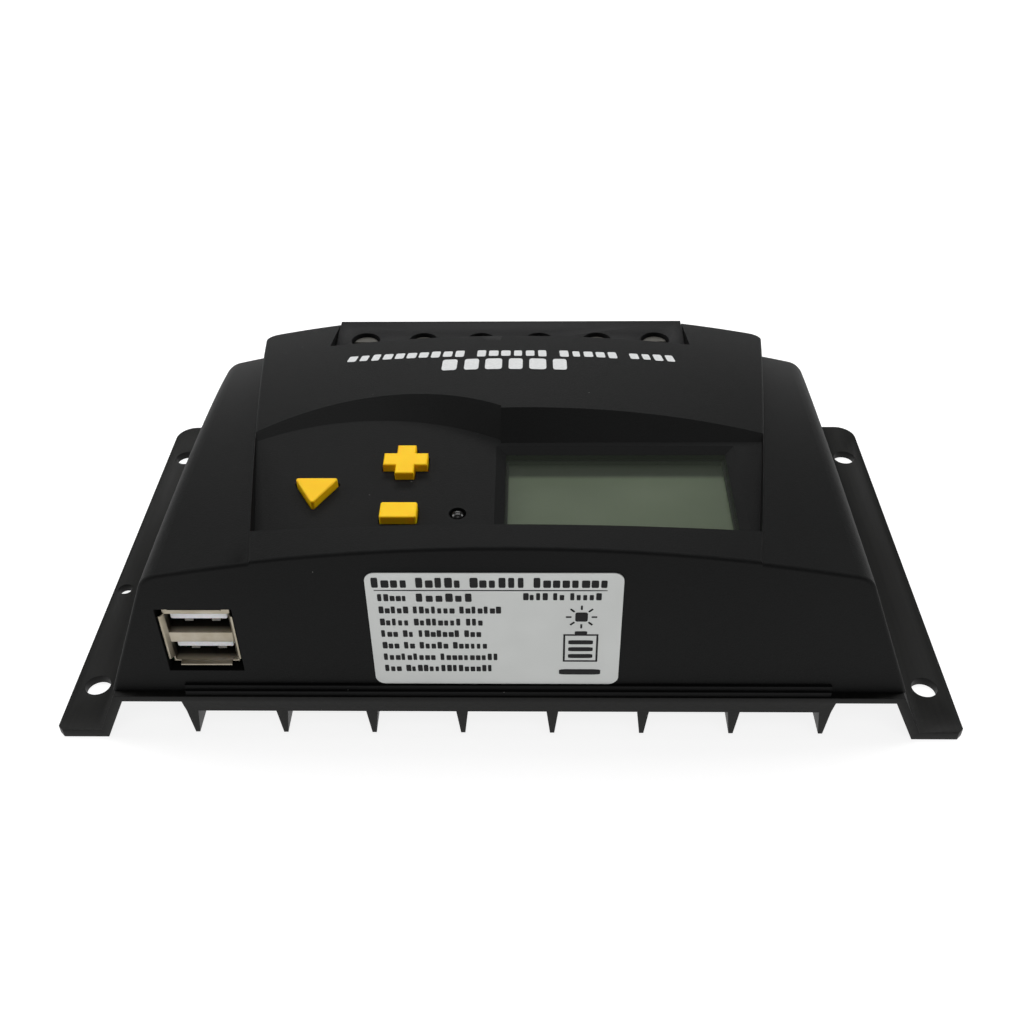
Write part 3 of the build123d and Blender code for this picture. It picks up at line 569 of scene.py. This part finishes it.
# ---- Double USB socket ----
# A folded nickel-plated shell with flared lips holds two white tongues, each with four plated
# contacts below it, and spring fingers in each port's floor grip the plug.
nickel = Finish("nickel_shell", Metallic=1.0)
rolled = nickel.noise(700.0, (1.0, 0.08, 1.0), 3.0)
tarnish = nickel.noise(260.0, detail=3.0)
# the plating keeps its colour at the lips and is painted dark with shade further into the ports, where
# it is also rougher
unshaded_depth = 0.0011
port_shade_depth = 0.0028
shell_low, shell_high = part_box("usb_shell")
into_ports = nickel.node("ShaderNodeTexCoord", {}, {}, "Object")
into_ports = nickel.node("ShaderNodeSeparateXYZ", {}, {0: into_ports}, "Y")
painted_port_shade_and_dull = nickel.clip(into_ports, shell_low.y + unshaded_depth, shell_low.y + port_shade_depth)
nickel_plate = nickel.gives(
    Base_Color=nickel.mix(
        painted_port_shade_and_dull,
        nickel.mix(
            nickel.clip(tarnish, 0.35, 0.7), (0.37, 0.335, 0.27, 1.0), (0.29, 0.255, 0.19, 1.0)
        ),
        # painted shade deep inside the ports
        (0.022, 0.020, 0.016, 1.0),
    ),
    Roughness=0.24 + rolled * 0.16 + tarnish * 0.08 + painted_port_shade_and_dull * 0.15,
    Normal=nickel.bump(rolled, 0.00001),
)
shell = welded("usb_shell")
break_edges(shell, 0.00009)
place_piece(shell, "housing", "nickel_shell", nickel_plate, "usb_shell")

tongue = Finish("white_plastic", Specular_IOR_Level=0.45, Subsurface_Weight=0.1, Subsurface_Scale=0.001)
tongue_skin = tongue.noise(1500.0)
tongue_white = tongue.gives(
    Base_Color=tongue.mix(tongue_skin, (0.80, 0.80, 0.83, 1.0), (0.90, 0.90, 0.93, 1.0)),
    Roughness=0.38 + tongue_skin * 0.14,
)
insulator = welded("usb_insulator")
break_edges(insulator, 0.00016)
place_piece(insulator, "housing", "white_plastic", tongue_white, "usb_insulator")

brass = Finish("contact_brass", Metallic=1.0)
wipe = brass.noise(900.0, (1.0, 0.1, 1.0))
contact_plate = brass.gives(
    Base_Color=brass.mix(wipe, (0.72, 0.55, 0.26, 1.0), (0.82, 0.66, 0.36, 1.0)),
    Roughness=0.22 + wipe * 0.2,
)
paint(contact_plate, "usb_contacts", "terminal_bars")

shell_middle = (shell_low.x + shell_high.x) / 2
shell_front = shell_low.y + 0.0009
sheet = 0.0003
finger_width = 0.0017
finger_spread = 0.0027
# how far in and how high each bend of a finger stands, from its root to its tip
finger_bend = [(0.0105, 0.0002), (0.0065, 0.0009), (0.0042, 0.0014), (0.0032, 0.0013), (0.0026, 0.0007)]
port_floors = [shell_low.z + 0.0007, shell_low.z + 0.0083]

# one spring finger: a strip whose cross-section is drawn out along its bend
bpy.ops.mesh.primitive_plane_add(size=1.0)
finger = bpy.context.active_object
bpy.ops.object.mode_set(mode="EDIT")
bpy.ops.mesh.select_all(action="SELECT")
bpy.ops.transform.resize(value=(finger_width, sheet, 1.0))
bpy.ops.transform.rotate(value=math.radians(90), orient_axis="X", center_override=(0, 0, 0))
bpy.ops.transform.translate(value=(0, finger_bend[0][0], finger_bend[0][1]))
for (start, low), (end, high) in zip(finger_bend, finger_bend[1:]):
    bpy.ops.mesh.extrude_region_move(TRANSFORM_OT_translate={"value": (0, end - start, high - low)})
bpy.ops.mesh.select_all(action="SELECT")
bpy.ops.mesh.normals_make_consistent(inside=False)
bpy.ops.object.mode_set(mode="OBJECT")
finger_mesh = finger.data
bpy.data.objects.remove(finger)
fingers = bmesh.new()
for port_floor in port_floors:
    for side in (-1, 1):
        stamped = finger_mesh.copy()
        finger_middle = shell_middle + side * finger_spread
        stamped.transform(Matrix.Translation((finger_middle, shell_front, port_floor)))
        fingers.from_mesh(stamped)
        bpy.data.meshes.remove(stamped)
springs_mesh = bpy.data.meshes.new("usb_springs")
fingers.to_mesh(springs_mesh)
fingers.free()
springs = new_piece("usb_springs", springs_mesh)
break_edges(springs, 0.00008)
bright = Finish("spring_nickel", Metallic=0.7)
rubbed = bright.noise(900.0, (1.0, 0.1, 1.0))
spring_nickel = bright.gives(
    Base_Color=bright.mix(rubbed, (0.50, 0.48, 0.44, 1.0), (0.66, 0.64, 0.58, 1.0)),
    Roughness=0.3 + rubbed * 0.2,
)
place_piece(springs, "housing", "nickel_shell", spring_nickel)

# ---- Screw terminals ----
# A black moulded block holds six rising clamps on a brass bar. Each dark zinc screw turns in a
# well in the block's top and draws its clamp up to grip the wire.
block = welded("terminal_housing")
break_edges(block, 0.0002)
place_piece(block, "housing", "black_plastic", moulded_black, "terminal_housing")

steel = Finish("plated_steel", Metallic=1.0)
turned = steel.noise(1300.0, detail=4.0)
passivate = steel.noise(220.0)
plated_steel = steel.gives(
    Base_Color=steel.mix(
        steel.clip(passivate, 0.3, 0.7), (0.36, 0.365, 0.36, 1.0), (0.46, 0.46, 0.43, 1.0)
    ),
    Roughness=0.32 + turned * 0.2,
    Normal=steel.bump(turned, 0.00001),
)
dark_zinc = Finish("dark_zinc", Metallic=0.6)
chromate = dark_zinc.noise(500.0, detail=3.0)
blackened = dark_zinc.gives(
    Base_Color=dark_zinc.mix(chromate, (0.05, 0.048, 0.042, 1.0), (0.09, 0.086, 0.075, 1.0)),
    Roughness=0.45 + chromate * 0.2,
)
for number in range(1, 7):
    paint(blackened, f"terminal_screw_{number}")
    paint(plated_steel, f"wire_clamp_{number}")
for number in range(1, 5):
    paint(plated_steel, f"board_screw_{number}", f"board_standoff_{number}")
    paint(plated_steel, f"cover_screw_{number}", f"display_screw_{number}")

# ---- Circuit boards ----
# Two glass-epoxy boards with green solder mask. The main board stands on hexagon pillars over
# the heat sink and the display board hangs from bosses under the panel.
laminate = Finish("circuit_board", Specular_IOR_Level=0.5)
tracks = laminate.noise(260.0, (1.0, 0.2, 1.0), 0.0)
pads = laminate.specks(240.0, 0.16)
solder_mask = laminate.gives(
    Base_Color=laminate.mix(
        pads,
        laminate.mix(tracks > 0.52, (0.010, 0.085, 0.035, 1.0), (0.016, 0.130, 0.055, 1.0)),
        (0.55, 0.53, 0.50, 1.0),
    ),
    Roughness=0.30 + tracks * 0.12,
    Metallic=pads * 0.8,
    Normal=laminate.bump(tracks > 0.52, 0.00003),
)
paint(solder_mask, "main_board", "display_board")
paint(moulded_black, "board_link", "controller_chip")

# ---- Power parts ----
# A toroid wound with enamelled wire, two capacitors in shrink-wrapped cans, and four transistors
# pressed on to a grey thermal pad on the heat sink.
ferrite = Finish("ferrite", Specular_IOR_Level=0.3)
ferrite_grain = ferrite.noise(1600.0, detail=4.0)
ferrite_coat = ferrite.gives(
    Base_Color=ferrite.mix(ferrite_grain, (0.03, 0.032, 0.034, 1.0), (0.07, 0.072, 0.075, 1.0)),
    Roughness=0.55 + ferrite_grain * 0.2,
    Normal=ferrite.bump(ferrite_grain, 0.00004),
)
paint(ferrite_coat, "inductor_core")

copper = Finish("copper_wire", Metallic=0.9, Coat_Roughness=0.15)
enamel = copper.noise(400.0)
enamelled = copper.gives(
    Base_Color=copper.mix(enamel, (0.52, 0.20, 0.07, 1.0), (0.68, 0.30, 0.12, 1.0)),
    Roughness=0.26 + enamel * 0.14,
    Coat_Weight=0.5 + enamel * 0.3,
)
paint(enamelled, "inductor_winding")

can = Finish("can_aluminium", Metallic=0.9)
can_brush = can.noise(800.0, (0.1, 1.0, 1.0))
can_satin = can.gives(
    Base_Color=can.mix(can_brush, (0.60, 0.61, 0.62, 1.0), (0.72, 0.73, 0.74, 1.0)),
    Roughness=0.28 + can_brush * 0.16,
)
paint(can_satin, "capacitor_1", "capacitor_2")

epoxy_case = Finish("transistor_body", Specular_IOR_Level=0.35)
case_grain = epoxy_case.noise(1700.0)
case_black = epoxy_case.gives(
    Base_Color=epoxy_case.mix(case_grain, (0.012, 0.012, 0.013, 1.0), (0.025, 0.025, 0.026, 1.0)),
    Roughness=0.5 + case_grain * 0.15,
    Normal=epoxy_case.bump(case_grain, 0.00003),
)
paint(case_black, "power_transistors")

rubber = Finish("pad_rubber", Specular_IOR_Level=0.3)
weave = rubber.noise(1100.0)
pad_grey = rubber.gives(
    Base_Color=rubber.mix(weave, (0.38, 0.40, 0.43, 1.0), (0.48, 0.50, 0.53, 1.0)),
    Roughness=0.7 + weave * 0.15,
    Normal=rubber.bump(weave, 0.00004),
)
paint(pad_grey, "thermal_pad")
